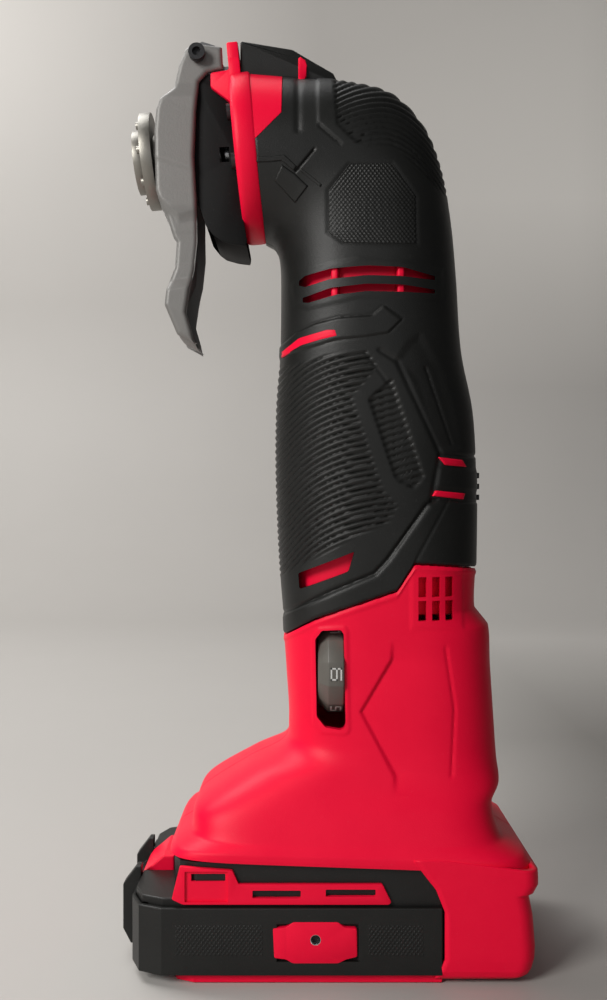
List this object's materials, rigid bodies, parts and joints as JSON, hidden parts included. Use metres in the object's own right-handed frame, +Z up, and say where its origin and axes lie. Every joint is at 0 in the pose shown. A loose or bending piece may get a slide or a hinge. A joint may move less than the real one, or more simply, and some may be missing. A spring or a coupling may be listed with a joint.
{
  "type": "oscillating multi tool",
  "caption": "Cordless oscillating multi tool: upright ribbed handle, tilted head with a pinned blade clamp and squeeze lever, speed wheel, slide-on battery foot.",
  "frame": {"origin": "the battery's flat underside, below the motor axis, where the two housing halves meet", "axes": "+Z runs up the motor axis to the head, the blade spindle points to -X and 5.5 degrees down, +Y completes the frame and leaves the housing's right half"},
  "size_m": [0.1366, 0.0766, 0.3103],
  "materials": {
    "red_shell": "fine moulded texture, satin",
    "black_grip": "soft overmould, ribbed and knurled",
    "steel_screw": "dark zinc",
    "cast_grey": "grey cast, satin paint",
    "gear_casting": "die cast",
    "bearing_steel": "ground",
    "holder_steel": "dark hardened steel",
    "spring_steel": "dark spring wire",
    "black_oxide": "black oxide",
    "clear_lens": "frosted clear plastic",
    "circuit_green": "coated board",
    "motor_steel": "rolled steel",
    "black_plastic": "moulded, satin",
    "ferrite": "sintered",
    "brass": "drawn",
    "copper": "turned copper",
    "lamination": "stamped sheet",
    "dial_black": "moulded, satin, white numerals",
    "blue_case": "moulded",
    "cell_wrap": "shrink wrap"
  },
  "bodies": {
    "tool_body": {"housing_left": "red_shell", "housing_right": "red_shell", "grip_left": "black_grip", "grip_right": "black_grip", "housing_screws": "steel_screw", "head_collar": "red_shell", "nose_bumper": "black_grip", "gear_case": "gear_casting", "gear_case_screws": "steel_screw", "spindle_bearing_front": "bearing_steel", "spindle_bearing_rear": "bearing_steel", "lever_pin": "black_oxide", "lever_spring": "spring_steel", "led_housing": "black_plastic", "led_lens": "clear_lens", "led_board": "circuit_green", "motor_can": "motor_steel", "motor_end_bell": "black_plastic", "motor_magnets": "ferrite", "brush_holders": "brass", "motor_bearings": "bearing_steel", "dial_potentiometer": "blue_case", "switch_module": "black_plastic", "control_board": "circuit_green", "terminal_block": "black_plastic", "tool_terminals": "brass"},
    "rotor": {"armature_shaft": "bearing_steel", "lamination_stack": "lamination", "commutator": "copper", "cooling_fan": "black_plastic", "eccentric_hub": "bearing_steel", "eccentric_bearing": "bearing_steel"},
    "spindle": {"output_spindle": "bearing_steel", "spindle_fork": "bearing_steel", "clamp_flange": "holder_steel", "clamp_spring": "spring_steel"},
    "blade_clamp": {"blade_holder": "holder_steel", "release_collar": "black_oxide"},
    "lever": {"clamp_lever": "cast_grey"},
    "dial": {"speed_dial": "dial_black"},
    "switch": {"switch_slider": "black_plastic"},
    "battery": {"battery_base": "red_shell", "battery_shell": "black_plastic", "battery_bumper": "black_grip", "battery_inserts": "red_shell", "battery_plates": "red_shell", "battery_cells": "cell_wrap", "cell_holder": "black_plastic", "battery_board": "circuit_green", "battery_contacts": "brass", "battery_screws": "steel_screw", "button_spring": "spring_steel"},
    "button": {"release_button": "red_shell"}
  },
  "joints": [
    {"name": "motor_spin", "type": "hinge", "parent": "tool_body", "child": "rotor", "pos_m": [0, 0, 0.18], "axis": [0, 0, 1], "continuous": true},
    {"name": "spindle_swing", "type": "hinge", "parent": "tool_body", "child": "spindle", "pos_m": [-0.02986, 0, 0.27842], "axis": [-0.9954, 0, -0.0958], "range_deg": [-1.6, 1.6]},
    {"name": "blade_release", "type": "slide", "parent": "spindle", "child": "blade_clamp", "axis": [0.9954, 0, 0.0958], "range_m": [0, 0.003], "deforming": ["clamp_spring"]},
    {"name": "lever_squeeze", "type": "hinge", "parent": "tool_body", "child": "lever", "pos_m": [-0.06042, 0, 0.30472], "axis": [0, -1, 0], "range_deg": [0, 5.6], "stiffness_Nm_per_rad": 6, "springref_deg": -6.88},
    {"name": "speed_turn", "type": "hinge", "parent": "tool_body", "child": "dial", "pos_m": [-0.0155, -0.0134, 0.097], "axis": [-1, 0, 0], "range_deg": [0, 300]},
    {"name": "switch_slide", "type": "slide", "parent": "tool_body", "child": "switch", "axis": [0, 0, 1], "range_m": [0, 0.006]},
    {"name": "battery_slide", "type": "slide", "parent": "tool_body", "child": "battery", "axis": [-1, 0, 0], "range_m": [0, 0.11]},
    {"name": "button_press", "type": "slide", "parent": "battery", "child": "button", "axis": [1, 0, 0], "range_m": [0, 0.004], "stiffness_N_per_m": 1200, "springref_m": -0.002, "deforming": ["button_spring"]}
  ],
  "couplings": [
    {"joint": "blade_release", "follows": "lever_squeeze", "m_per_rad": 0.030663}
  ]
}
